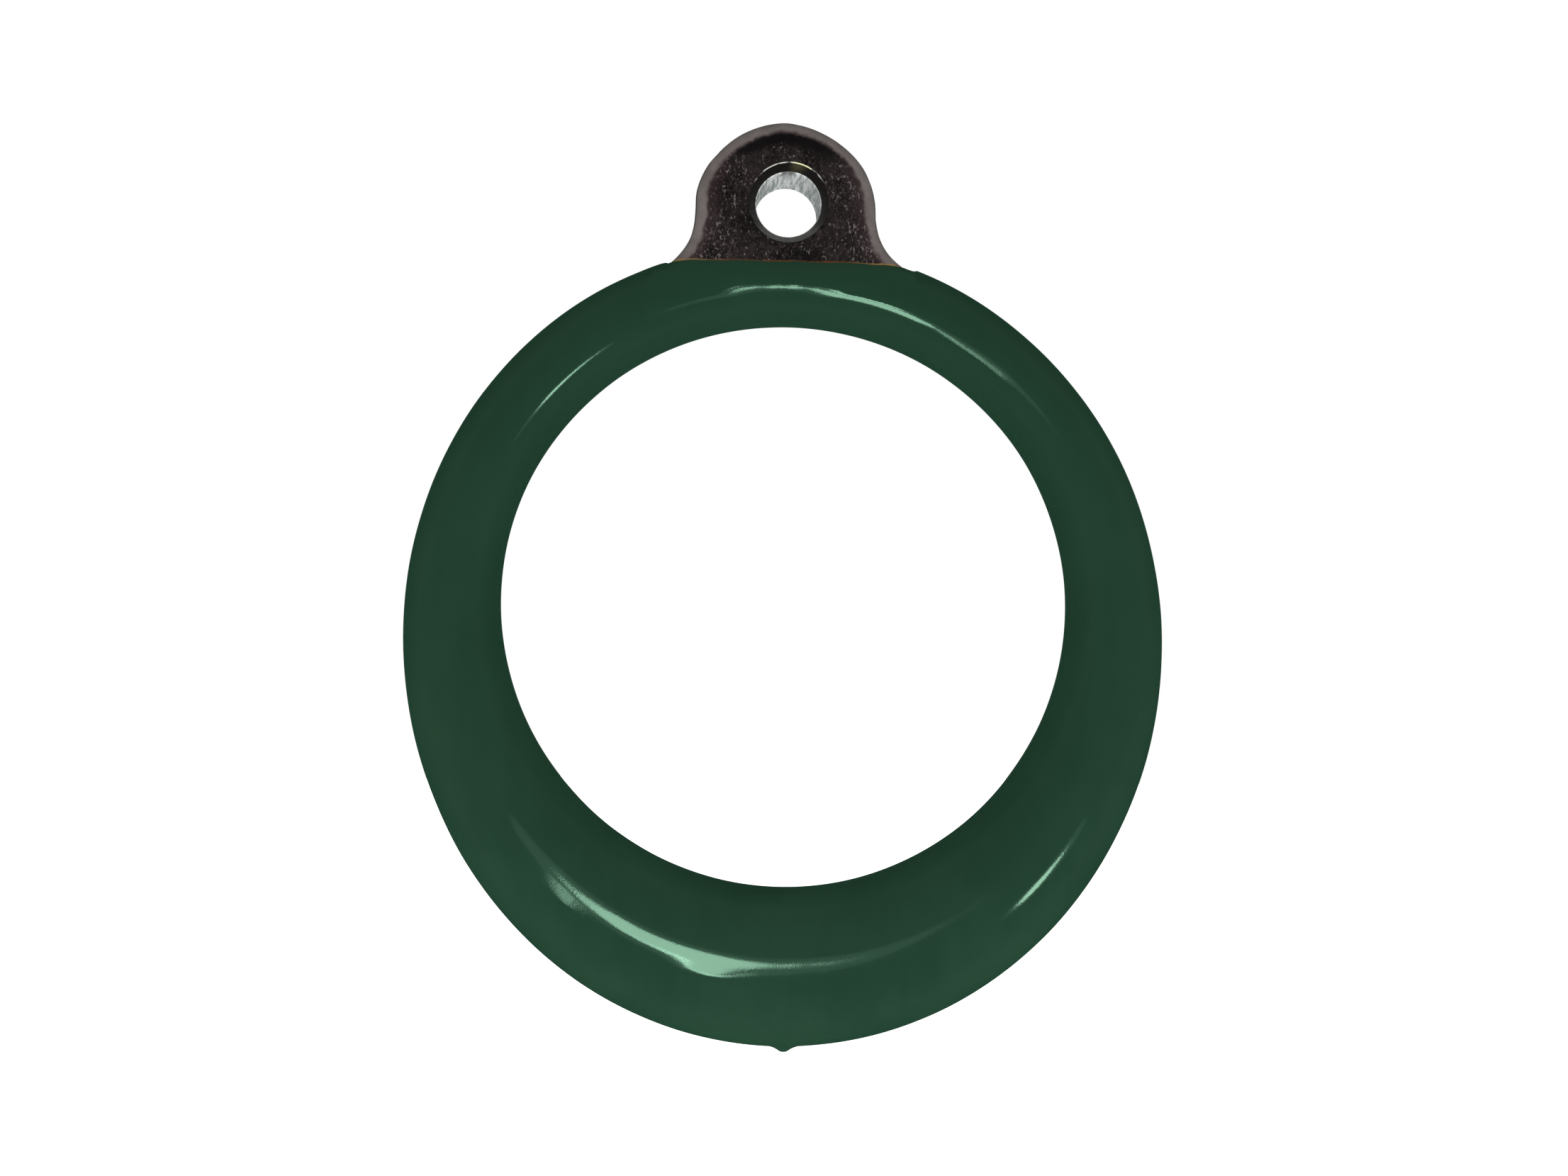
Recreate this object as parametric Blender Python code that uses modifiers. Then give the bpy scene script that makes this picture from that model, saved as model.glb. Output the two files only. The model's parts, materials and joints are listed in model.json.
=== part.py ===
"""Trapeze ring for a swing set: a cast aluminium ring with a hanging lug, dipped in thick green plastisol.

Two pieces. ring_casting is the solid ring core and its lug in one casting, with a chamfered eye
bore. plastisol_coating is the soft vinyl skin moulded over the whole ring, up to a level dip line
across the root of the lug, with the drip tip that the dipping leaves at the lowest point.

Units are metres, +Z is up. The origin is the centre of the eye bore, Y is the bore's axis, and the
ring hangs below the origin in the XZ plane. The front of the ring faces -Y.
"""

import math

import bmesh
import bpy

# ---- driving dimensions, metres ----
HAND_OPENING_D = 0.1270  # clear round opening for the hands, 5 in
EYE_TO_RING_CENTRE = 0.0889  # the eye bore's centre above the centre of the hand opening, 3 1/2 in
EYE_OFF_CENTRE = 0.0008  # the eye is drilled this far right of the ring's middle plane

RIM_W_TOP = 0.0183  # radial width of the coated rim at the top
RIM_W_GAIN = 0.0170  # how much wider it grows at the bottom, where the hands hold it
RIM_W_POWER = 2.55  # how late the growth comes on the way down
RIM_D_TOP = 0.0200  # front-to-back depth of the coated rim at the top
RIM_D_GAIN = 0.0054  # how much deeper it grows at the bottom
RIM_D_POWER = 1.3
COAT = 0.0020  # wall of the plastisol skin
GAP = 0.0003  # modelling gap between the skin and the casting

LUG_THICK = 0.0160  # 5/8 in plate
LUG_R = 0.0202  # dome radius
LUG_DOME_Z = -0.0020  # the dome's centre, a little below the eye
LUG_EDGE_R = 0.0028  # rounding of the lug's edges
LUG_FILLET_R = 0.0127  # concave sweep from the lug's flank into the rim
LUG_FILLET_Z = -0.0030  # where that sweep starts down the flank
LUG_FOOT_X = 0.0280  # half-width of the lug's hidden foot, which goes straight down from there
LUG_ROOT_Z = -0.0182  # bottom of that foot, inside the ring core

EYE_D = 0.0143  # through bore, 9/16 in, for 1/2 in hanging hardware
EYE_CHAMFER = 0.0016  # radial width of the chamfer at both mouths
EYE_CHAMFER_DEPTH = 0.0018

DIP_LINE_Z = -0.0132  # the skin's upper edge
ROOT_SPREAD = 21.0  # degrees each side of the top over which the rim takes the lug's square section
ROOT_FADE = 22.0  # degrees over which it returns to a round one
ROOT_SQUARE = 4.5  # superellipse power of the rim's outer half at the lug's root
ROOT_THIN = 0.0005  # how much less deep each face of the skin is there

DRIP_R = 0.0044  # base radius of the drip tip
DRIP_TIP_R = 0.0010
DRIP_H = 0.0013

# ---- fineness of the faceted solids ----
SKIN_STEPS, SKIN_SIDES = 84, 20
CORE_STEPS, CORE_SIDES = 60, 16
DOME_STEPS, FILLET_STEPS = 26, 7
EYE_STEPS = 40

GREEN = (0.019, 0.060, 0.034)
PRIMER = (0.020, 0.016, 0.015)


# ---- scene ----
def clear_scene():
    for obj in list(bpy.data.objects):
        bpy.data.objects.remove(obj, do_unlink=True)


def new_collection(name):
    col = bpy.data.collections.new(name)
    bpy.context.scene.collection.children.link(col)
    return col


def principled(name, colour, roughness, metallic):
    mat = bpy.data.materials.new(name)
    mat.use_nodes = True
    shader = mat.node_tree.nodes["Principled BSDF"]
    shader.inputs["Base Color"].default_value = (*colour, 1.0)
    shader.inputs["Roughness"].default_value = roughness
    shader.inputs["Metallic"].default_value = metallic
    mat.diffuse_color = (*colour, 1.0)
    return mat


def link(name, mesh, col, cutter=False):
    obj = bpy.data.objects.new(name, mesh)
    col.objects.link(obj)
    if cutter:
        obj.hide_render = True
        obj.display_type = "WIRE"
    return obj


def applied(obj, name, col, cutter=False):
    """A plain mesh object of obj as its modifiers make it, in place of obj."""
    bpy.context.view_layer.update()
    seen = obj.evaluated_get(bpy.context.evaluated_depsgraph_get())
    mesh = bpy.data.meshes.new_from_object(seen)
    mesh.name = name
    bm = bmesh.new()
    bm.from_mesh(mesh)
    bmesh.ops.remove_doubles(bm, verts=bm.verts, dist=0.00001)
    bmesh.ops.recalc_face_normals(bm, faces=bm.faces)
    bm.to_mesh(mesh)
    bm.free()
    where = obj.matrix_world.copy()
    bpy.data.objects.remove(obj, do_unlink=True)
    made = link(name, mesh, col, cutter)
    made.matrix_world = where
    return made


def boolean(obj, other, operation):
    mod = obj.modifiers.new(operation.title(), "BOOLEAN")
    mod.operation = operation
    mod.solver = "EXACT"
    mod.object = other
    return mod


# ---- the rim ----
def ease(t):
    t = min(1.0, max(0.0, t))
    return t * t * (3.0 - 2.0 * t)


def lug_root(theta):
    """1 under the lug's root at the top of the ring, 0 away from it."""
    off = abs(math.degrees(math.remainder(theta, math.tau)))
    return 1.0 - ease((off - ROOT_SPREAD) / ROOT_FADE)


def rim_section(theta, turn, inset):
    """Distance from the ring's centre and front-to-back place of one point of the rim.

    theta runs round the ring from its top, turn runs round the section from the outer side, and
    inset is how far the wanted surface lies under the skin."""
    low = (1.0 - math.cos(theta)) / 2.0
    width = RIM_W_TOP + RIM_W_GAIN * low**RIM_W_POWER
    depth = RIM_D_TOP + RIM_D_GAIN * low**RIM_D_POWER
    root = lug_root(theta)
    middle = HAND_OPENING_D / 2.0 + width / 2.0
    a = width / 2.0 - inset
    b = depth / 2.0 - ROOT_THIN * root - inset
    c, s = math.cos(turn), math.sin(turn)
    power = 2.0 + (ROOT_SQUARE - 2.0) * root if c > 0.0 else 2.0
    out = math.copysign(abs(c) ** (2.0 / power), c)
    back = math.copysign(abs(s) ** (2.0 / power), s)
    return middle + a * out, b * back


def rim(name, inset, steps, sides, col, cutter=False):
    """A torus whose every section is reshaped by rim_section."""
    bpy.ops.mesh.primitive_torus_add(
        major_radius=1.0,
        minor_radius=0.25,
        major_segments=steps,
        minor_segments=sides,
        location=(0.0, 0.0, 0.0),
    )
    made = bpy.context.object
    mesh = made.data
    for v in mesh.vertices:
        x, y, z = v.co
        theta = math.atan2(x, y)
        turn = math.atan2(z, math.hypot(x, y) - 1.0)
        r, back = rim_section(theta, turn, inset)
        v.co = (
            r * math.sin(theta) - EYE_OFF_CENTRE,
            back,
            r * math.cos(theta) - EYE_TO_RING_CENTRE,
        )
    for other in list(made.users_collection):
        other.objects.unlink(made)
    bpy.data.objects.remove(made, do_unlink=True)
    bm = bmesh.new()
    bm.from_mesh(mesh)
    bmesh.ops.recalc_face_normals(bm, faces=bm.faces)
    bm.to_mesh(mesh)
    bm.free()
    mesh.name = name
    return link(name, mesh, col, cutter)


# ---- the lug ----
def lug_outline():
    """Points round the lug, anticlockwise from its right foot."""
    cx = LUG_R + LUG_FILLET_R
    start = math.tau - math.acos((LUG_FOOT_X - cx) / LUG_FILLET_R)
    points = [(LUG_FOOT_X, LUG_ROOT_Z)]
    for i in range(FILLET_STEPS + 1):
        a = start + (math.pi - start) * i / FILLET_STEPS
        points.append(
            (cx + LUG_FILLET_R * math.cos(a), LUG_FILLET_Z + LUG_FILLET_R * math.sin(a))
        )
    for i in range(DOME_STEPS + 1):
        a = math.pi * i / DOME_STEPS
        points.append((LUG_R * math.cos(a), LUG_DOME_Z + LUG_R * math.sin(a)))
    mirrored = [(-x, z) for x, z in reversed(points[: FILLET_STEPS + 2])]
    return [(x - EYE_OFF_CENTRE, z) for x, z in points + mirrored]


def lug(name, grow, col, cutter=False):
    """The lug's plate with rounded edges: a flat outline with a bevel, stood upright."""
    curve = bpy.data.curves.new(name, "CURVE")
    curve.dimensions = "2D"
    curve.fill_mode = "BOTH"
    curve.extrude = LUG_THICK / 2.0 - LUG_EDGE_R
    curve.bevel_depth = LUG_EDGE_R + grow
    curve.bevel_resolution = 2
    curve.offset = -LUG_EDGE_R
    points = lug_outline()
    spline = curve.splines.new("POLY")
    spline.points.add(len(points) - 1)
    for p, (x, z) in zip(spline.points, points):
        p.co = (x, z, 0.0, 1.0)
    spline.use_cyclic_u = True
    obj = bpy.data.objects.new(name, curve)
    col.objects.link(obj)
    obj.rotation_euler = (math.radians(90.0), 0.0, 0.0)
    return applied(obj, name, col, cutter)


def turned(name, profile, steps, col, cutter=False):
    """A solid turned about its own Z: profile is (radius, height) from the top down the outer side."""
    mesh = bpy.data.meshes.new(name)
    mesh.from_pydata(
        [(r, 0.0, h) for r, h in profile],
        [(i, i + 1) for i in range(len(profile) - 1)],
        [],
    )
    obj = link(name, mesh, col, cutter)
    screw = obj.modifiers.new("Turn", "SCREW")
    screw.axis = "Z"
    screw.angle = math.tau
    screw.screw_offset = 0.0
    screw.steps = steps
    screw.render_steps = steps
    screw.use_merge_vertices = True
    screw.merge_threshold = 0.00001
    return obj


def main():
    clear_scene()
    parts = new_collection("trapeze_ring")
    cutters = new_collection("cutters")
    aluminium = principled("primed_aluminium", PRIMER, 0.38, 0.35)
    vinyl = principled("green_plastisol", GREEN, 0.16, 0.0)

    # The casting: ring core and lug, joined, then bored for the hanging hardware.
    casting = rim("ring_casting", COAT, CORE_STEPS, CORE_SIDES, parts)
    plate = lug("lug_plate", 0.0, cutters, cutter=True)
    half = LUG_THICK / 2.0
    mouth = EYE_D / 2.0 + EYE_CHAMFER
    over = 0.001
    flare = mouth + EYE_CHAMFER * over / EYE_CHAMFER_DEPTH
    eye = turned(
        "eye_cutter",
        [
            (0.0, half + over),
            (flare, half + over),
            (EYE_D / 2.0, half - EYE_CHAMFER_DEPTH),
            (EYE_D / 2.0, EYE_CHAMFER_DEPTH - half),
            (flare, -half - over),
            (0.0, -half - over),
        ],
        EYE_STEPS,
        cutters,
        cutter=True,
    )
    eye.rotation_euler = (math.radians(90.0), 0.0, 0.0)
    boolean(casting, plate, "UNION")
    boolean(casting, eye, "DIFFERENCE")
    casting.data.materials.append(aluminium)

    # The skin: the rim's outer form and its drip tip, less the casting and all above the dip line.
    skin = rim("plastisol_coating", 0.0, SKIN_STEPS, SKIN_SIDES, parts)
    bottom = -EYE_TO_RING_CENTRE - rim_section(math.pi, 0.0, 0.0)[0]
    drip = turned(
        "drip_tip",
        [
            (0.0, bottom + 0.0015),
            (DRIP_R * 1.25, bottom + 0.0015),
            (DRIP_R, bottom + 0.0002),
            (DRIP_R * 0.55, bottom - DRIP_H * 0.30),
            (DRIP_TIP_R, bottom - DRIP_H),
            (0.0, bottom - DRIP_H),
        ],
        16,
        cutters,
        cutter=True,
    )
    drip.location.x = -EYE_OFF_CENTRE
    core_space = rim("core_space", COAT - GAP, CORE_STEPS, CORE_SIDES, cutters, cutter=True)
    lug_space = lug("lug_space", GAP, cutters, cutter=True)
    bpy.ops.mesh.primitive_cube_add(size=1.0, location=(0.0, 0.0, 0.0))
    box = bpy.context.object
    above = box.data
    bpy.data.objects.remove(box, do_unlink=True)
    height = 0.02
    for v in above.vertices:
        v.co = (v.co.x * 0.09, v.co.y * 0.05, (v.co.z + 0.5) * height + DIP_LINE_Z)
    above_dip = link("above_dip_line", above, cutters, cutter=True)
    boolean(skin, drip, "UNION")
    boolean(skin, above_dip, "DIFFERENCE")
    boolean(skin, core_space, "DIFFERENCE")
    boolean(skin, lug_space, "DIFFERENCE")
    skin.data.materials.append(vinyl)

    for obj in (casting, skin):
        obj.data.shade_smooth()
        obj.data.set_sharp_from_angle(angle=math.radians(35.0))


main()
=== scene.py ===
"""Looks for the trapeze ring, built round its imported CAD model.

Two pieces are made here, each in place of its CAD node: the casting with its lug, eye bore and
baked primer, and the thick green plastisol skin with its dip line, sags and drip tip.
Everything is in metres. The origin is the centre of the eye bore and the front faces -Y.
"""

import json
import math

import bmesh
import bpy
import numpy as np
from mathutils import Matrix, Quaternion, Vector, noise

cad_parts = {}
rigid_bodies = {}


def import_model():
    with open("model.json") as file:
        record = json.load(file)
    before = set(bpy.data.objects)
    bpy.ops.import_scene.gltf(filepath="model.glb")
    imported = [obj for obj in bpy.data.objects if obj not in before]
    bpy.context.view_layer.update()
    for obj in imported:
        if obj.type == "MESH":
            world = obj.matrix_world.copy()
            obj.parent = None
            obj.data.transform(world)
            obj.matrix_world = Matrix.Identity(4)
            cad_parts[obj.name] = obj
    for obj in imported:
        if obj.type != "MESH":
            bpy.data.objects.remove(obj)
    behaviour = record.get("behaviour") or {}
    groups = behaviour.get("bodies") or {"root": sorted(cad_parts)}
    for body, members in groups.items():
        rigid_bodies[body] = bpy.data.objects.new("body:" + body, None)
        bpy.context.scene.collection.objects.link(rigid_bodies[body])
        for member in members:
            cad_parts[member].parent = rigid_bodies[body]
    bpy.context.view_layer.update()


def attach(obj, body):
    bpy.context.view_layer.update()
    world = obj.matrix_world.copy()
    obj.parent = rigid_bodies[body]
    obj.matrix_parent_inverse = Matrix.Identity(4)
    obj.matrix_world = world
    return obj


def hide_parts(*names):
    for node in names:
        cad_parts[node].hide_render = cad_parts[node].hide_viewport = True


for old in list(bpy.data.objects):
    bpy.data.objects.remove(old, do_unlink=True)
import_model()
MM = 0.001

# ---- the CAD's driving sizes, in millimetres ----
OFF = 0.8  # the ring's middle plane lies this far left of the eye
DROP = 88.9  # from the eye down to the ring's centre
HOLE_R = 63.6
W_TOP, W_GAIN, W_POWER = 18.28, 16.69, 2.555
D_TOP, D_GAIN, D_POWER = 20.0, 5.4, 1.3
COAT = 2.0
ROOT_SPREAD, ROOT_FADE, ROOT_SQUARE, ROOT_THIN = 21.0, 22.0, 2.3, 0.5
LUG_HALF, LUG_R, DOME_Z, EDGE_R = 8.0, 20.2, -2.0, 2.8
FILLET_R, FILLET_Z, FOOT_X, ROOT_Z = 12.7, -3.0, 28.4, -17.5
EYE_R, CHAMFER, CHAMFER_DEPTH = 7.15, 1.6, 1.8
DRIP_H = 1.45

# How far the hand-dipped rim strays from that form: waves round the ring, from its top.
OUTER_WAVES = [(-0.08, 0.0), (-0.18, -0.40), (-0.19, -0.34), (-0.22, -0.01)]
INNER_WAVES = [(-0.04, 0.0), (0.02, 0.12), (-0.29, -0.23), (-0.10, 0.02)]


# ---- small helpers ----
def smooth(t):
    t = np.clip(t, 0.0, 1.0)
    return t * t * (3.0 - 2.0 * t)


def waves(theta, table):
    return sum(a * np.cos(k * theta) + b * np.sin(k * theta) for k, (a, b) in enumerate(table))


def soft_min(a, b, k):
    h = np.clip(0.5 + 0.5 * (b - a) / k, 0.0, 1.0)
    return b * (1.0 - h) + a * h - k * h * (1.0 - h)


def noise_at(points, size, seed, octaves=2):
    """Smooth noise about zero at each point (mm), with features of that size (mm)."""
    shift = Vector((seed * 7.31, seed * 3.17, seed * 5.77))
    flat = points.reshape(-1, 3)
    out = np.empty(len(flat))
    for i, p in enumerate(flat):
        out[i] = noise.fractal(Vector(p) / size + shift, 1.0, 2.0, octaves)
    return out.reshape(points.shape[:-1])


def mesh_object(name, points, faces):
    mesh = bpy.data.meshes.new(name)
    mesh.from_pydata((np.asarray(points).reshape(-1, 3) * MM).tolist(), [], faces)
    obj = bpy.data.objects.new(name, mesh)
    bpy.context.scene.collection.objects.link(obj)
    bm = bmesh.new()
    bm.from_mesh(mesh)
    bmesh.ops.recalc_face_normals(bm, faces=bm.faces)
    bm.to_mesh(mesh)
    bm.free()
    return obj


def wrapped_grid(nu, nv):
    """Faces of a grid that closes on itself both ways."""
    return [
        (i * nv + j, ((i + 1) % nu) * nv + j, ((i + 1) % nu) * nv + (j + 1) % nv, i * nv + (j + 1) % nv)
        for i in range(nu)
        for j in range(nv)
    ]


def cut(obj, other, operation):
    """Applies an exact Boolean to obj and removes the other solid."""
    mod = obj.modifiers.new("cut", "BOOLEAN")
    mod.operation, mod.solver, mod.object = operation, "EXACT", other
    bpy.context.view_layer.update()
    done = bpy.data.meshes.new_from_object(
        obj.evaluated_get(bpy.context.evaluated_depsgraph_get())
    )
    obj.modifiers.clear()
    old = obj.data
    done.name = old.name + "_cut"
    obj.data = done
    bpy.data.meshes.remove(old)
    gone = other.data
    bpy.data.objects.remove(other, do_unlink=True)
    bpy.data.meshes.remove(gone)


def tidy(obj, angle):
    bm = bmesh.new()
    bm.from_mesh(obj.data)
    bmesh.ops.remove_doubles(bm, verts=bm.verts, dist=2e-6)
    bmesh.ops.dissolve_degenerate(bm, edges=bm.edges, dist=1e-6)
    bm.to_mesh(obj.data)
    bm.free()
    obj.data.shade_smooth()
    obj.data.set_sharp_from_angle(angle=math.radians(angle))


# ---- the rim ----
def section(theta, inset):
    """Centre radius, half-width, half-depth and outer squareness of the rim's section, in mm."""
    low = (1.0 - np.cos(theta)) / 2.0
    inner = HOLE_R + waves(theta, INNER_WAVES)
    outer = HOLE_R + W_TOP + W_GAIN * low**W_POWER + waves(theta, OUTER_WAVES)
    depth = D_TOP + D_GAIN * low**D_POWER
    off = np.abs(np.degrees(np.arctan2(np.sin(theta), np.cos(theta))))
    root = 1.0 - smooth((off - ROOT_SPREAD) / ROOT_FADE)
    a = (outer - inner) / 2.0 - inset
    b = depth / 2.0 - ROOT_THIN * root - inset
    return (outer + inner) / 2.0, a, b, 2.0 + (ROOT_SQUARE - 2.0) * root


def place(theta, r, y):
    """The point at radius r round the ring's centre, in the part's frame, in mm."""
    return np.stack([r * np.sin(theta) - OFF, y + 0.0 * r, r * np.cos(theta) - DROP], -1)


def rim_rays(thetas, turns, inset):
    """Section centres, unit rays in each section, and where each ray meets the inset rim."""
    theta, turn = np.meshgrid(thetas, turns, indexing="ij")
    middle, a, b, power = section(theta, inset)
    c, s = np.cos(turn), np.sin(turn)
    power = np.where(c > 0.0, power, 2.0)
    u = a * np.sign(c) * np.abs(c) ** (2.0 / power)
    v = b * np.sign(s) * np.abs(s) ** (2.0 / power)
    size = np.hypot(u, v)
    return theta, middle, u / size, v / size, size


def core_mesh(name, steps, sides):
    """The casting's ring, just inside the skin, and drawn in further under the lug."""
    thetas = np.arange(steps) / steps * math.tau
    turns = np.arange(sides) / sides * math.tau
    theta, middle, u, v, size = rim_rays(thetas, turns, COAT)
    off = np.abs(np.degrees(np.arctan2(np.sin(theta), np.cos(theta))))
    size = size - 0.25 - 1.6 * (1.0 - smooth((off - 25.0) / 6.0))
    return mesh_object(name, place(theta, middle + u * size, v * size), wrapped_grid(steps, sides))


# ---- the lug, as a distance ----
def lean(x, z):
    """How far the lug's edge strays outwards from its drawn line, in mm."""
    left = 0.60 * smooth((-z - 6.0) / 7.0) - 0.25 * smooth((z - 9.0) / 3.0)
    left = left - 0.42 * np.exp(-(((z + 1.0) / 3.2) ** 2))
    right = 0.12 * smooth((-z - 2.0) / 3.5) * (1.0 - smooth((-z - 12.2) / 2.2))
    right = right - 1.0 * smooth((z - 7.0) / 11.0)
    return np.where(x < 0.0, left, right) * np.minimum(np.abs(x) / 4.0, 1.0)


def lug_outline_distance(p):
    """Signed distance to the lug's outline in its own plane, in mm."""
    x, z = p[..., 0] + OFF, p[..., 2]
    x = np.abs(x) - lean(x, z)
    dome = np.hypot(x, z - DOME_Z) - LUG_R
    fillet = FILLET_R - np.hypot(x - LUG_R - FILLET_R, z - FILLET_Z)
    return np.where(z > FILLET_Z, np.where(z > DOME_Z, dome, np.maximum(dome, x - LUG_R)), fillet)


def lug_distance(p):
    """Signed distance to the lug's plate with its rounded edges, in mm."""
    x, y, z = np.abs(p[..., 0] + OFF), np.abs(p[..., 1]), p[..., 2]
    flat = np.maximum(np.maximum(lug_outline_distance(p), x - FOOT_X), ROOT_Z - z)
    q1, q2 = flat + EDGE_R, y - (LUG_HALF - EDGE_R)
    return (
        np.minimum(np.maximum(q1, q2), 0.0)
        + np.hypot(np.maximum(q1, 0.0), np.maximum(q2, 0.0))
        - EDGE_R
    )


def flank(p):
    """1 on the side walls of the lug's root, 0 on its faces."""
    x, y = np.abs(p[..., 0] + OFF), np.abs(p[..., 1])
    return smooth((x - 23.5) / 3.0) * (1.0 - smooth((y - 4.5) / 2.5))


def dip_line(p):
    """Height of the skin's upper edge over a point, in mm."""
    x, y = p[..., 0] + OFF, p[..., 1]
    droop = (np.abs(x) / 22.0) ** 4
    front = -13.05 - 0.025 * x - 0.25 * droop
    back = -13.3 - 0.020 * x - 0.20 * droop
    level = front + (back - front) * smooth(y / 10.0 + 0.5)
    level = level + 0.07 * np.sin(0.55 * x + 1.0 + 0.1 * y) + 0.04 * np.sin(1.35 * x + 0.3 * y)
    side = np.where(x < 0.0, -12.4 - level, 0.12)
    clear = 6.0 * smooth((np.abs(x) - 28.8) / 5.0)  # past the lug the ring's own top stays whole
    return level + side * flank(p) + clear


def skin_thickness(p, under):
    """Thickness over the core and over the lug: thin at the upper edge, full 5 mm lower."""
    thin = 0.13 + (COAT - 0.13) * (1.0 - np.exp(-under / 2.4))
    side = flank(p)
    return thin + (COAT - thin) * side, thin + (0.10 - thin) * side


def body_surface(thetas, turns, coated, above):
    """Points where rays from the rim's section centres leave the coated or the bare body.

    above is how far past the dip line the surface goes on before it closes, in mm."""
    theta, middle, u, v, core = rim_rays(thetas, turns, COAT)
    near, far = 0.4 * core, core + 16.0
    for _ in range(30):
        mid = (near + far) / 2.0
        p = place(theta, middle + u * mid, v * mid)
        over = p[..., 2] - dip_line(p)
        under = np.maximum(-over, 0.0)
        rim, lug = skin_thickness(p, under) if coated else (-0.03, -0.03)
        blend = (0.6 + 1.6 * smooth(under / 6.0)) * (1.0 - 0.8 * flank(p))
        body = soft_min(mid - core - rim, lug_distance(p) - lug, blend)
        inside = np.maximum(body, over - above) < 0.0
        near, far = np.where(inside, mid, near), np.where(inside, far, mid)
    return theta, place(theta, middle + u * near, v * near)


def spread(edges, steps):
    """Numbers from edges[0] to edges[-1], with each stretch between edges in its own step."""
    parts = [
        np.arange(n) / n * (b - a) + a
        for a, b, n in zip(edges, edges[1:], [max(1, round((b - a) / s)) for a, b, s in zip(edges, edges[1:], steps)])
    ]
    return np.radians(np.concatenate(parts))


# ---- the skin ----
def make_skin():
    thetas = spread([-36, 36, 176, 184, 324], [0.5, 1.1, 0.2, 1.1])
    turns = spread([-32, 32, 328], [1.3, 2.7])
    theta, points = body_surface(thetas, turns, True, 2.0)

    # Slow swells left by the draining plastisol, none at the thin upper edge.
    under = dip_line(points) - points[..., 2]
    calm = smooth(under / 8.0)
    centre = place(theta, section(theta, 0.0)[0], 0.0)
    outward = points - centre
    outward /= np.linalg.norm(outward, axis=-1, keepdims=True)
    swell = 0.08 * noise_at(points, 26.0, 1.0) + 0.010 * noise_at(points, 9.0, 2.0)
    # a drained ridge on the front of the bottom grip, below its crest
    around = np.degrees(theta) - 192.4
    r = np.hypot(points[..., 0] + OFF, points[..., 2] + DROP)
    ridge = np.exp(-((around / 5.6) ** 2) - ((r - 82.3 - 0.06 * around) / 1.8) ** 2)
    swell = swell + 0.27 * ridge * (points[..., 1] < 0.0)
    points = points + outward * (calm * swell)[..., None]

    # The drip tip at the lowest point, a small flared nib.
    across = np.hypot(points[..., 0] + OFF, points[..., 1])
    nib = DRIP_H * np.clip(1.0 - (across - 0.9) / 3.5, 0.0, 1.0) ** 1.9
    under_ring = points[..., 2] < -DROP - HOLE_R - 17.0
    points[..., 2] -= np.where(under_ring, nib, 0.0)
    skin = mesh_object("plastisol_skin", points, wrapped_grid(len(thetas), len(turns)))

    # All above the dip line is cut away with a wavy block.
    xs, ys = np.linspace(-48.0, 48.0, 161), np.linspace(-16.0, 16.0, 49)
    gx, gy = np.meshgrid(xs, ys, indexing="ij")
    low = np.stack([gx, gy, 0.0 * gx], -1)
    low[..., 2] = dip_line(low)
    n, m = gx.shape
    rim_ids = (
        [i * m for i in range(n)]
        + [(n - 1) * m + j for j in range(1, m)]
        + [i * m + m - 1 for i in range(n - 2, -1, -1)]
        + [j for j in range(m - 2, 0, -1)]
    )
    flat = low.reshape(-1, 3)
    top = flat[rim_ids].copy()
    top[:, 2] = 12.0
    verts = np.concatenate([flat, top])
    faces = [(i * m + j, (i + 1) * m + j, (i + 1) * m + j + 1, i * m + j + 1) for i in range(n - 1) for j in range(m - 1)]
    k = len(rim_ids)
    faces += [(rim_ids[i], rim_ids[(i + 1) % k], n * m + (i + 1) % k, n * m + i) for i in range(k)]
    faces.append([n * m + i for i in range(k)])
    cut(skin, mesh_object("above_dip", verts, faces), "DIFFERENCE")

    # And the room that the casting takes is hollowed out of it.
    thetas = spread([-36, 36, 324], [1.5, 3.0])
    turns = spread([-32, 328], [6.0])
    _, hollow = body_surface(thetas, turns, False, 5.0)
    cut(skin, mesh_object("hollow", hollow, wrapped_grid(len(thetas), len(turns))), "DIFFERENCE")
    tidy(skin, 38.0)
    return skin


# ---- the casting ----
def lug_outline():
    """Points (x, z), outward normals and rounding weights round the lug, anticlockwise, in mm."""
    cx = LUG_R + FILLET_R
    last = math.acos((cx - FOOT_X) / FILLET_R)  # past here the skin hides the foot
    pts, nrm, wgt = [], [], []
    for i in range(60):  # the hidden bottom, left to right
        t = (i + 0.5) / 60
        pts.append((FOOT_X * (2.0 * t - 1.0), ROOT_Z))
        nrm.append((0.0, -1.0))
        wgt.append(0.0)
    right = []
    for i in range(46):  # the right fillet, upwards
        b = last * (1.0 - i / 45)
        x, z = cx - FILLET_R * math.cos(b), FILLET_Z - FILLET_R * math.sin(b)
        right.append(((x, z), (math.cos(b), math.sin(b)), 1.0))
    for q, n, w in right:
        pts.append(q)
        nrm.append(n)
        wgt.append(w)
    for i in range(1, 160):
        a = math.pi * i / 160
        pts.append((LUG_R * math.cos(a), DOME_Z + LUG_R * math.sin(a)))
        nrm.append((math.cos(a), math.sin(a)))
        wgt.append(1.0)
    for q, n, w in reversed(right):
        pts.append((-q[0], q[1]))
        nrm.append((-n[0], n[1]))
        wgt.append(w)
    return np.array(pts), np.array(nrm), np.array(wgt)


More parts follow.
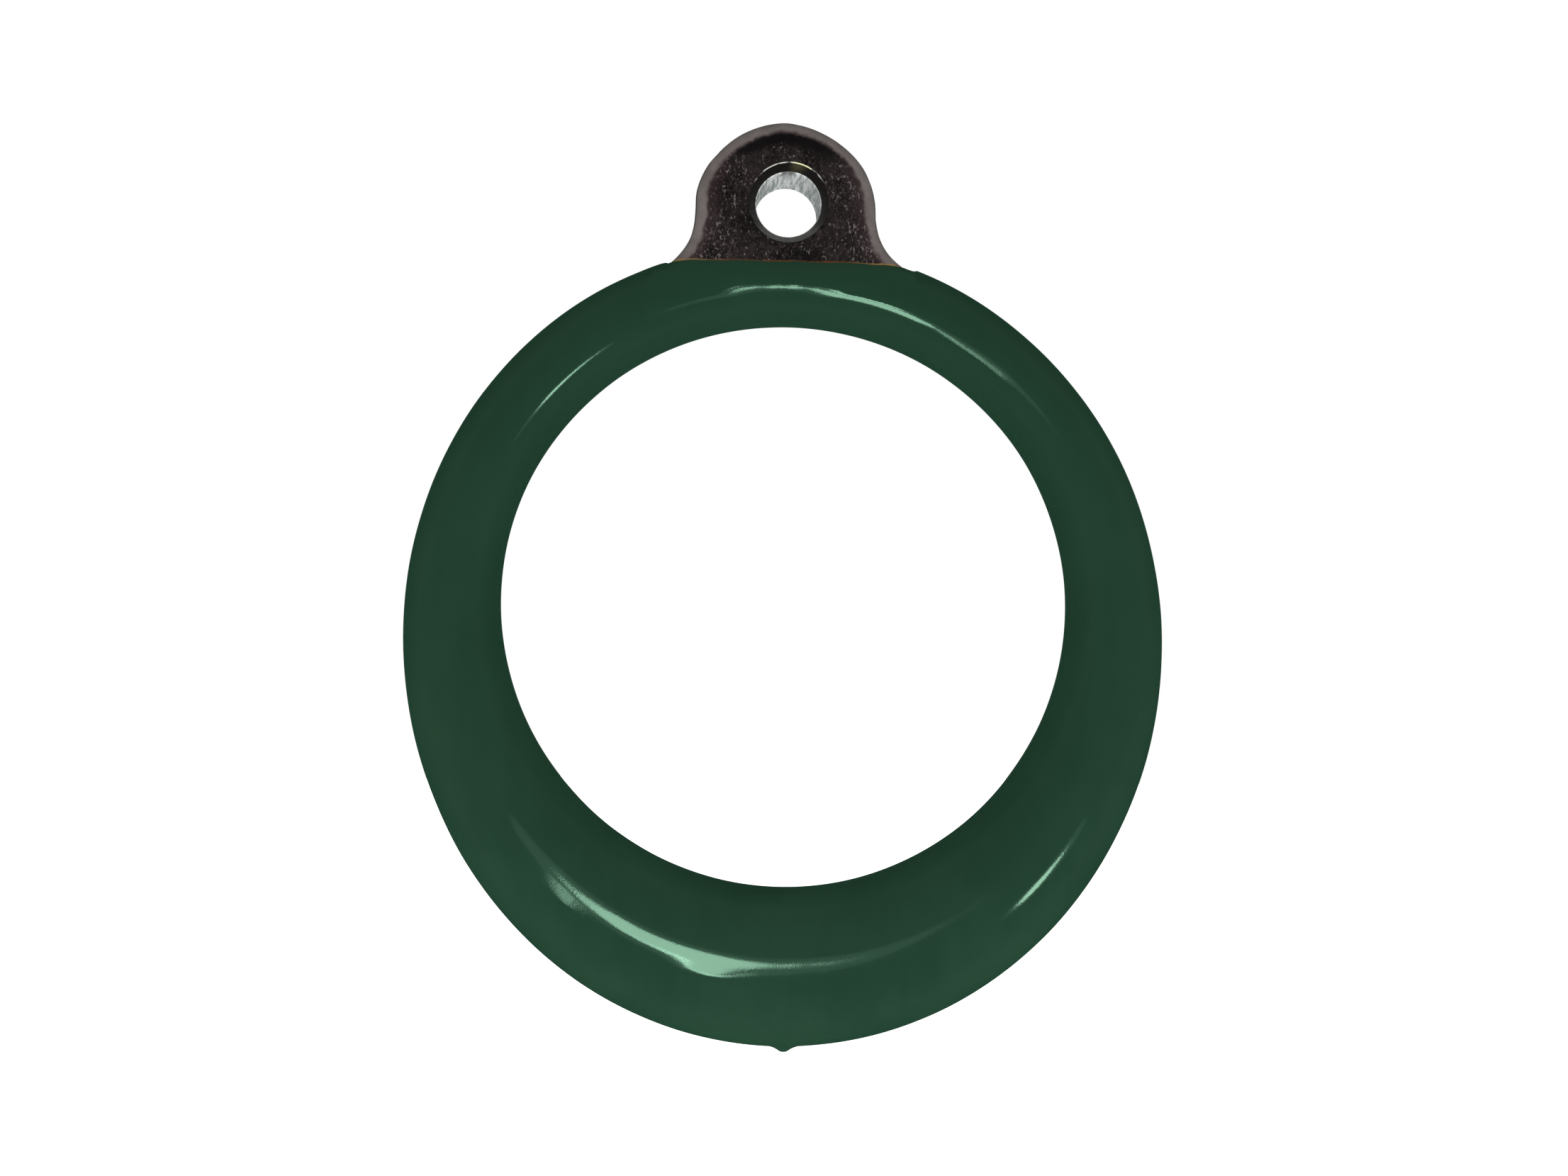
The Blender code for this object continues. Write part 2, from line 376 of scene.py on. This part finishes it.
def make_lug():
    pts, nrm, wgt = lug_outline()
    pts[:, 0] += np.sign(pts[:, 0]) * lean(pts[:, 0], pts[:, 1])
    pts[:, 0] -= OFF
    rows = []

    def ring(flat, y):
        # the hidden foot is drawn in, so it stays under the skin
        tuck = 1.0 - 0.30 * smooth((-14.6 - flat[:, 1]) / 2.4)
        rows.append(np.stack([flat[:, 0], y * tuck, flat[:, 1]], -1))

    wide = EDGE_R + 0.3  # the rounding runs a little further in than it is deep
    for a in np.linspace(0.0, math.pi / 2.0, 11)[1:]:
        inset = wide * (1.0 - math.cos(a))
        ring(pts - nrm * (wgt * inset)[:, None], -(LUG_HALF - EDGE_R + EDGE_R * math.sin(a)))
    inner = rows[-1][:, [0, 2]]
    mouth = EYE_R + CHAMFER
    unit = inner / np.linalg.norm(inner, axis=1, keepdims=True)
    brim = unit * (mouth + 0.16)
    for t in np.linspace(0.0, 1.0, 17)[1:]:
        ring(inner + (brim - inner) * t, -LUG_HALF)
    for r, y in [
        (mouth + 0.05, LUG_HALF - 0.03),
        (mouth - 0.06, LUG_HALF - 0.13),
        (EYE_R + CHAMFER * 0.66, LUG_HALF - CHAMFER_DEPTH * 0.36),
        (EYE_R + CHAMFER * 0.33, LUG_HALF - CHAMFER_DEPTH * 0.70),
        (EYE_R + 0.07, LUG_HALF - CHAMFER_DEPTH + 0.02),
        (EYE_R + 0.01, LUG_HALF - CHAMFER_DEPTH - 0.09),
        (EYE_R, LUG_HALF - CHAMFER_DEPTH - 0.4),
        (EYE_R, 4.0),
        (EYE_R, 2.0),
        (EYE_R, 0.0),
    ]:
        ring(unit * r, -y)
    front = rows[:]
    rows.clear()
    for y in np.linspace(LUG_HALF - EDGE_R, -(LUG_HALF - EDGE_R), 8):
        ring(pts, y)
    side = rows[:]
    back = [r * np.array([1.0, -1.0, 1.0]) for r in front[-2::-1]]
    grid = np.array(side + front + back)  # closes on itself through the bore
    nr, nc = grid.shape[:2]

    # As-cast unevenness: the plate's faces and edges are never quite true.
    flat = grid.reshape(-1, 3)
    away = np.hypot(flat[:, 0], flat[:, 2]) - mouth
    keep = smooth(away / 1.2)
    small = noise_at(flat, 3.2, 3.0) * 0.030 + noise_at(flat, 10.0, 4.0) * 0.045
    facing = smooth((np.abs(flat[:, 1]) - 6.5) / 1.5)
    flat[:, 1] += np.sign(flat[:, 1]) * keep * facing * small
    rad = flat[:, [0, 2]] / np.maximum(np.linalg.norm(flat[:, [0, 2]], axis=1, keepdims=True), 1.0)
    flat[:, [0, 2]] += rad * (keep * (1.0 - facing) * small)[:, None]
    return mesh_object("casting", flat, wrapped_grid(nr, nc))


def make_casting():
    body = make_lug()
    cut(body, core_mesh("core", 180, 32), "UNION")
    tidy(body, 42.0)
    # how far in from the lug's outline each point lies, for the painted reflection along its rounded edge
    inset = body.data.attributes.new("inset", "FLOAT", "POINT")
    co = np.array([v.co[:] for v in body.data.vertices]) / MM
    inset.data.foreach_set("value", np.maximum(-lug_outline_distance(co), 0.0).astype(np.float32))
    return body


# ---- materials ----
class Nodes:
    """Short-hand for building a node tree."""

    def __init__(self, name):
        self.mat = bpy.data.materials.new(name)
        self.mat.use_nodes = True
        self.tree = self.mat.node_tree
        self.shader = self.tree.nodes["Principled BSDF"]
        coords = self.add("ShaderNodeTexCoord")
        self.object = coords.outputs["Object"]

    def add(self, kind, **settings):
        node = self.tree.nodes.new(kind)
        for k, v in settings.items():
            setattr(node, k, v)
        return node

    def put(self, socket, value):
        if isinstance(value, bpy.types.NodeSocket):
            self.tree.links.new(value, socket)
        elif value is not None:
            socket.default_value = value

    def math(self, op, a, b=None, c=None, clamp=False):
        node = self.add("ShaderNodeMath", operation=op, use_clamp=clamp)
        for socket, value in zip(node.inputs, (a, b, c)):
            self.put(socket, value)
        return node.outputs[0]

    def split(self, vector):
        node = self.add("ShaderNodeSeparateXYZ")
        self.put(node.inputs[0], vector)
        return node.outputs

    def scaled(self, vector, scale):
        node = self.add("ShaderNodeMapping")
        self.put(node.inputs["Vector"], vector)
        node.inputs["Scale"].default_value = scale
        return node.outputs[0]

    def noise(self, vector, scale, detail=2.0, rough=0.5, distortion=0.0):
        node = self.add("ShaderNodeTexNoise")
        self.put(node.inputs["Vector"], vector)
        node.inputs["Scale"].default_value = scale
        node.inputs["Detail"].default_value = detail
        node.inputs["Roughness"].default_value = rough
        node.inputs["Distortion"].default_value = distortion
        return node.outputs["Fac"]

    def ramp(self, value, low, high, out_low=0.0, out_high=1.0):
        node = self.add("ShaderNodeMapRange", interpolation_type="SMOOTHSTEP")
        self.put(node.inputs["Value"], value)
        for key, v in zip(("From Min", "From Max", "To Min", "To Max"), (low, high, out_low, out_high)):
            node.inputs[key].default_value = v
        return node.outputs["Result"]

    def mix(self, fac, a, b):
        node = self.add("ShaderNodeMix", data_type="RGBA")
        for socket, value in ((node.inputs["Factor"], fac), (node.inputs["A"], a), (node.inputs["B"], b)):
            pass
        self.put(node.inputs[0], fac)
        self.put(node.inputs[6], (*a, 1.0) if isinstance(a, tuple) else a)
        self.put(node.inputs[7], (*b, 1.0) if isinstance(b, tuple) else b)
        return node.outputs[2]

    def bump(self, height, strength, distance, normal=None):
        node = self.add("ShaderNodeBump")
        node.inputs["Strength"].default_value = strength
        node.inputs["Distance"].default_value = distance
        self.put(node.inputs["Height"], height)
        self.put(node.inputs["Normal"], normal)
        return node.outputs["Normal"]


def plastisol():
    n = Nodes("green_plastisol")
    s = n.shader.inputs
    broad = n.noise(n.object, 45.0, 3.0)
    streaks = n.noise(n.scaled(n.object, (240.0, 240.0, 30.0)), 1.0, 2.0)
    tone = n.math("ADD", n.math("MULTIPLY", broad, 0.7), n.math("MULTIPLY", streaks, 0.3))
    colour = n.mix(n.ramp(tone, 0.3, 0.7), (0.0108, 0.0340, 0.0195), (0.0136, 0.0402, 0.0232))
    height = n.split(n.object)[2]
    deeper = n.math("MULTIPLY", n.ramp(height, -0.165, -0.020), 0.65)  # a little darker upwards
    n.put(s["Base Color"], n.mix(deeper, colour, (0.0090, 0.0280, 0.0160)))
    fine = n.noise(n.object, 1500.0, 2.0)
    n.put(s["Roughness"], n.ramp(n.math("ADD", n.math("MULTIPLY", fine, 0.5), n.math("MULTIPLY", broad, 0.5)), 0.3, 0.7, 0.055, 0.085))
    s["Specular Tint"].default_value = (0.55, 1.0, 0.72, 1.0)
    s["Specular IOR Level"].default_value = 0.5
    grain = n.noise(n.object, 3300.0, 1.0)
    orange = n.noise(n.object, 330.0, 2.0)
    first = n.bump(orange, 0.02, 0.0002)
    n.put(s["Normal"], n.bump(grain, 0.06, 0.00006, first))
    return n.mat


def primer():
    n = Nodes("primed_casting")
    s = n.shader.inputs
    x, y, z = n.split(n.object)
    radius = n.math("SQRT", n.math("ADD", n.math("MULTIPLY", x, x), n.math("MULTIPLY", z, z)))

    # Painted reflection along the lug's rounded edge: a paler grey-brown band that fades raggedly into the face
    # through a purple-brown fringe.
    inset = n.add("ShaderNodeAttribute", attribute_name="inset").outputs["Fac"]
    patchy = n.noise(n.object, 420.0, 4.0, 0.65)
    film = n.noise(n.object, 190.0, 4.0, 0.62)
    ragged = n.math("ADD", inset, n.math("MULTIPLY", n.math("SUBTRACT", patchy, 0.5), 2.2))
    reflection_band = n.ramp(ragged, 1.5, 3.6, 1.0, 0.0)
    near = n.ramp(ragged, 2.6, 6.4, 1.0, 0.0)

    # The face: a baked brown-black film, mottled, darker in a band just under the top edge, with paler flecks that
    # are painted glints off the cast grain.
    mottle = n.noise(n.scaled(n.object, (900.0, 900.0, 620.0)), 1.0, 4.0, 0.7)
    base = n.mix(n.ramp(film, 0.35, 0.7), (0.0030, 0.0020, 0.0021), (0.0115, 0.0070, 0.0068))
    base = n.mix(n.math("MULTIPLY", n.ramp(mottle, 0.46, 0.72), 0.50), base, (0.032, 0.022, 0.021))
    # painted reflection: the purple-brown fringe inward of the rounded edge
    base = n.mix(n.math("MULTIPLY", near, 0.7), base, (0.026, 0.0130, 0.0165))
    under_top = n.math("MULTIPLY", n.ramp(inset, 2.6, 3.4), n.ramp(inset, 4.6, 6.6, 1.0, 0.0))
    under_top = n.math("MULTIPLY", under_top, n.ramp(z, 0.0060, 0.0120))
    base = n.mix(n.math("MULTIPLY", under_top, 0.95), base, (0.0012, 0.0010, 0.0012))
    specks = n.noise(n.scaled(n.object, (1450.0, 1450.0, 900.0)), 1.0, 2.0, 0.65)
    clusters = n.noise(n.object, 150.0, 2.0)
    sides = n.ramp(n.math("ABSOLUTE", n.math("SUBTRACT", x, 0.0010)), 0.0085, 0.0125)
    crowd = n.math("ADD", n.math("MULTIPLY", clusters, 0.14), n.math("MULTIPLY", sides, 0.03))
    # painted glints: paler grit and flecks over the face
    glint_grit = n.ramp(n.noise(n.scaled(n.object, (2500.0, 2500.0, 1700.0)), 1.0, 1.0), 0.53, 0.74)
    crowded = n.ramp(n.math("ADD", clusters, n.math("MULTIPLY", sides, 0.10)), 0.42, 0.68, 0.08, 0.50)
    crowded = n.math("MULTIPLY", crowded, n.math("SUBTRACT", 1.0, under_top))
    base = n.mix(n.math("MULTIPLY", glint_grit, crowded), base, (0.105, 0.090, 0.084))
    glint_fleck = n.ramp(n.math("ADD", specks, crowd), 0.69, 0.82)
    glint_fleck = n.math("MULTIPLY", glint_fleck, n.math("SUBTRACT", 1.0, under_top))
    base = n.mix(n.math("MULTIPLY", glint_fleck, 0.55), base, (0.170, 0.150, 0.140))
    # painted reflection: the pale grey-brown colour of the rounded edge
    rim = n.mix(n.ramp(film, 0.3, 0.7), (0.092, 0.078, 0.074), (0.122, 0.105, 0.100))
    reflection_fringe = n.mix(n.ramp(reflection_band, 0.15, 0.85), (0.036, 0.023, 0.024), rim)
    colour = n.mix(n.ramp(reflection_band, 0.02, 0.45), base, reflection_fringe)
    # painted shade: a thin dark line right at the lug's outline
    colour = n.mix(n.ramp(inset, 0.14, 0.38, 0.92, 0.0), colour, (0.014, 0.012, 0.011))

    # The thin amber line where the adhesive primer shows over the skin's edge.
    xm = n.math("ADD", x, OFF * MM)
    droop = n.math("POWER", n.math("DIVIDE", n.math("ABSOLUTE", xm), 0.022), 4.0)
    back = n.ramp(y, -0.005, 0.005)
    level = n.math("ADD", n.math("MULTIPLY", xm, -0.025), n.math("MULTIPLY", droop, -0.00025))
    level = n.math("ADD", level, n.math("ADD", -0.01305, n.math("MULTIPLY", back, -0.00025)))
    ripple = n.math("SINE", n.math("ADD", n.math("MULTIPLY", xm, 550.0), 1.0))
    level = n.math("ADD", level, n.math("MULTIPLY", ripple, 0.00007))
    over = n.math("SUBTRACT", z, level)
    over = n.math("ADD", over, n.math("MULTIPLY", n.math("SUBTRACT", patchy, 0.5), 0.0006))
    amber = n.ramp(over, 0.00020, 0.00042, 1.0, 0.0)
    out = n.ramp(n.math("ABSOLUTE", xm), 0.012, 0.024)
    colour = n.mix(amber, colour, n.mix(out, (0.075, 0.026, 0.002), (0.23, 0.125, 0.030)))

    # The chamfer is smoother and darker; the paler colour along its lower side, which faces up, is painted light.
    cone = n.ramp(radius, 0.00872, 0.00880, 1.0, 0.0)
    lit_lower_side = n.ramp(z, -0.0068, -0.0040, 1.0, 0.0)
    chamfer_lit_colour = n.mix(lit_lower_side, (0.0030, 0.0025, 0.0023), (0.043, 0.043, 0.038))
    olive = n.math("MULTIPLY", n.ramp(z, 0.0066, 0.0080), n.ramp(x, -0.0005, 0.0020))
    olive = n.math("MULTIPLY", olive, n.ramp(x, 0.0026, 0.0050, 1.0, 0.0))
    colour = n.mix(cone, colour, n.mix(olive, chamfer_lit_colour, (0.034, 0.031, 0.010)))

    # Bare bright metal down the bore, with stains of primer round its front mouth.
    bore = n.ramp(radius, 0.00722, 0.00732, 1.0, 0.0)
    stain_noise = n.noise(n.scaled(n.object, (620.0, 260.0, 620.0)), 1.0, 4.0, 0.65)
    near_front = n.ramp(y, -0.0062, -0.0022, 1.0, 0.0)
    spot = n.math("MULTIPLY", n.ramp(n.math("ABSOLUTE", n.math("ADD", x, 0.0004)), 0.0004, 0.0030, 1.0, 0.0), 0.20)
    stained = n.ramp(n.math("ADD", stain_noise, n.math("MULTIPLY", spot, n.ramp(z, 0.002, 0.006))), 0.55, 0.61)
    stained = n.math("MULTIPLY", stained, near_front)
    scores = n.noise(n.scaled(n.object, (1500.0, 150.0, 1500.0)), 1.0, 3.0, 0.65)
    metal = n.mix(n.ramp(scores, 0.40, 0.60), (0.44, 0.48, 0.47), (0.99, 0.99, 0.99))
    # painted shade on the bore's right-hand wall
    shade = n.math("MULTIPLY", n.ramp(x, 0.0030, 0.0062), 0.35)
    metal = n.mix(shade, metal, (0.36, 0.38, 0.37))
    metal = n.mix(n.math("MULTIPLY", stained, 0.85), metal, (0.050, 0.046, 0.042))
    colour = n.mix(bore, colour, metal)

    # Along the top of the eye's front edge the primer is worn to bare metal; the bright line there is a painted glint
    # on it.
    lip = n.math("MULTIPLY", n.ramp(radius, 0.00866, 0.00876), n.ramp(radius, 0.00886, 0.00896, 1.0, 0.0))
    upper = n.ramp(n.math("SUBTRACT", z, n.math("MULTIPLY", n.math("ABSOLUTE", x), 0.35)), 0.0015, 0.0042)
    broken = n.ramp(n.noise(n.object, 520.0, 3.0), 0.38, 0.50)
    wear_and_glint = n.math("MULTIPLY", n.math("MULTIPLY", lip, upper), broken)
    yellow = n.math("MULTIPLY", n.ramp(x, 0.0004, 0.0020), n.ramp(x, 0.0040, 0.0056, 1.0, 0.0))
    colour = n.mix(wear_and_glint, colour, n.mix(yellow, (0.62, 0.62, 0.56), (0.92, 0.95, 0.55)))

    n.put(s["Base Color"], colour)
    bare = n.math("MAXIMUM", n.math("MULTIPLY", bore, n.math("SUBTRACT", 1.0, stained)), wear_and_glint)
    n.put(s["Metallic"], n.math("MULTIPLY", bare, 0.35))
    rough = n.ramp(film, 0.3, 0.7, 0.34, 0.48)
    n.put(s["Roughness"], n.math("ADD", rough, n.math("MULTIPLY", bare, -0.08)))
    s["Specular IOR Level"].default_value = 0.45
    s["Specular Tint"].default_value = (1.0, 0.93, 0.91, 1.0)

    rough_cast = n.math("SUBTRACT", 1.0, cone)  # the machined cone and bore stay smooth
    sand = n.bump(n.math("MULTIPLY", specks, rough_cast), 0.4, 0.00014)
    lumps = n.math("MULTIPLY", n.noise(n.object, 700.0, 3.0), rough_cast)
    n.put(s["Normal"], n.bump(lumps, 0.25, 0.00025, sand))
    return n.mat


def floor_white():
    n = Nodes("pale_floor")
    s = n.shader.inputs
    soft = n.noise(n.object, 1.5, 1.0)
    n.put(s["Base Color"], n.mix(soft, (0.90, 0.90, 0.90), (0.93, 0.93, 0.93)))
    s["Roughness"].default_value = 0.9
    s["Specular IOR Level"].default_value = 0.0
    s["Emission Color"].default_value = (1.0, 1.0, 1.0, 1.0)
    s["Emission Strength"].default_value = 0.9
    return n.mat


# ---- stage, light and camera ----
def make_stage():
    """A wide pale floor with a gently raised rim, well below the hanging ring."""
    steps = 96
    rings = [(0.0, 0.0), (0.4, 0.0), (0.9, 0.0), (1.6, 0.0), (2.4, 0.02), (3.0, 0.09)]
    pts, faces = [(0.0, 0.0, -600.0)], []
    for r, h in rings[1:]:
        for i in range(steps):
            a = math.tau * i / steps
            pts.append((r * 1000.0 * math.cos(a), r * 1000.0 * math.sin(a), -600.0 + h * 1000.0))
    for i in range(steps):
        faces.append((0, 1 + i, 1 + (i + 1) % steps))
    for k in range(len(rings) - 2):
        for i in range(steps):
            a, b = 1 + k * steps + i, 1 + k * steps + (i + 1) % steps
            faces.append((a, a + steps, b + steps, b))
    floor = mesh_object("floor", np.array(pts), faces)
    for poly in floor.data.polygons:
        if poly.normal.z < 0.0:
            poly.flip()
    floor.data.materials.append(floor_white())
    floor.visible_glossy = False


def make_world():
    """White to the eye and for soft fill, and a dim room for what gloss picks up."""
    world = bpy.data.worlds.new("studio")
    bpy.context.scene.world = world
    world.use_nodes = True
    tree = world.node_tree
    tree.nodes.clear()
    new, join = tree.nodes.new, tree.links.new
    out = new("ShaderNodeOutputWorld")
    path = new("ShaderNodeLightPath")
    white = new("ShaderNodeBackground")
    white.inputs["Color"].default_value = (1.0, 1.0, 1.0, 1.0)
    white.inputs["Strength"].default_value = 1.0
    room = new("ShaderNodeBackground")
    room.inputs["Strength"].default_value = 1.0
    coords = new("ShaderNodeTexCoord")
    parts = new("ShaderNodeSeparateXYZ")
    join(coords.outputs["Generated"], parts.inputs[0])
    depth = new("ShaderNodeMapRange")  # 0 in front, on the camera's side, and 1 far behind
    join(parts.outputs["Y"], depth.inputs["Value"])
    depth.inputs["From Min"].default_value = -1.0
    tones = new("ShaderNodeValToRGB")
    ramp = tones.color_ramp
    stops = [
        (0.04, (0.020, 0.020, 0.020)),
        (0.34, (0.100, 0.102, 0.098)),
        (0.54, (0.040, 0.064, 0.048)),
        (0.74, (0.014, 0.046, 0.027)),
    ]
    while len(ramp.elements) < len(stops):
        ramp.elements.new(0.5)
    for stop, (at, tone) in zip(ramp.elements, stops):
        stop.position, stop.color = at, (*tone, 1.0)
    join(depth.outputs["Result"], tones.inputs[0])
    join(tones.outputs["Color"], room.inputs["Color"])
    pick = new("ShaderNodeMixShader")
    join(path.outputs["Is Glossy Ray"], pick.inputs[0])
    join(white.outputs[0], pick.inputs[1])
    join(room.outputs[0], pick.inputs[2])
    join(pick.outputs[0], out.inputs["Surface"])


def soft_light(name, place, radii, turn, radiance):
    """An oval soft lamp that faces the middle of the ring."""
    data = bpy.data.lights.new(name, "AREA")
    data.shape = "ELLIPSE"
    data.size, data.size_y = 2.0 * radii[0], 2.0 * radii[1]
    data.energy = radiance * math.pi * math.pi * radii[0] * radii[1]
    lamp = bpy.data.objects.new(name, data)
    bpy.context.scene.collection.objects.link(lamp)
    lamp.location = place
    facing = (Vector(place) - Vector((0.0, 0.0, -0.090))).to_track_quat("Z", "Y")
    lamp.rotation_euler = (facing @ Quaternion((0.0, 0.0, 1.0), turn)).to_euler()
    lamp.visible_camera = False
    return lamp


def make_lights():
    soft_light("lamp_low", (-0.014, -0.318, -0.173), (0.042, 0.027), 0.73, 10.5)
    soft_light("lamp_low_glow", (-0.014, -0.320, -0.173), (0.070, 0.052), 0.73, 0.5)
    soft_light("lamp_high", (0.000, -0.800, -0.280), (0.035, 0.028), 0.0, 12.5)
    soft_light("lamp_slim", (-0.092, -0.369, -0.225), (0.006, 0.052), -0.74, 6.5)
    soft_light("lamp_right", (0.388, -0.640, -0.413), (0.040, 0.043), 0.0, 13.0)
    soft_light("lamp_right_glow", (0.400, -0.645, -0.405), (0.080, 0.085), 0.0, 0.4)


def make_camera():
    data = bpy.data.cameras.new("camera")
    data.sensor_width = 36.0
    data.lens = 31.56
    data.shift_x = 0.0524
    data.shift_y = 0.0070
    data.clip_start = 0.01
    camera = bpy.data.objects.new("camera", data)
    bpy.context.scene.collection.objects.link(camera)
    camera.location = (-0.01913, -0.310, -0.08715)
    camera.rotation_euler = (math.radians(90.0), 0.0, 0.0)
    bpy.context.scene.camera = camera


def main():
    make_camera()
    make_world()
    make_lights()
    make_stage()

    casting = make_casting()
    casting.data.materials.clear()
    casting.data.materials.append(primer())
    skin = make_skin()
    skin.data.materials.clear()
    skin.data.materials.append(plastisol())
    for piece, node, slot in (
        (casting, "ring_casting", "primed_casting"),
        (skin, "plastisol_coating", "green_plastisol"),
    ):
        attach(piece, "root")
        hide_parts(node)

    bpy.context.scene.view_settings.view_transform = "Standard"
    bpy.context.view_layer.update()


main()
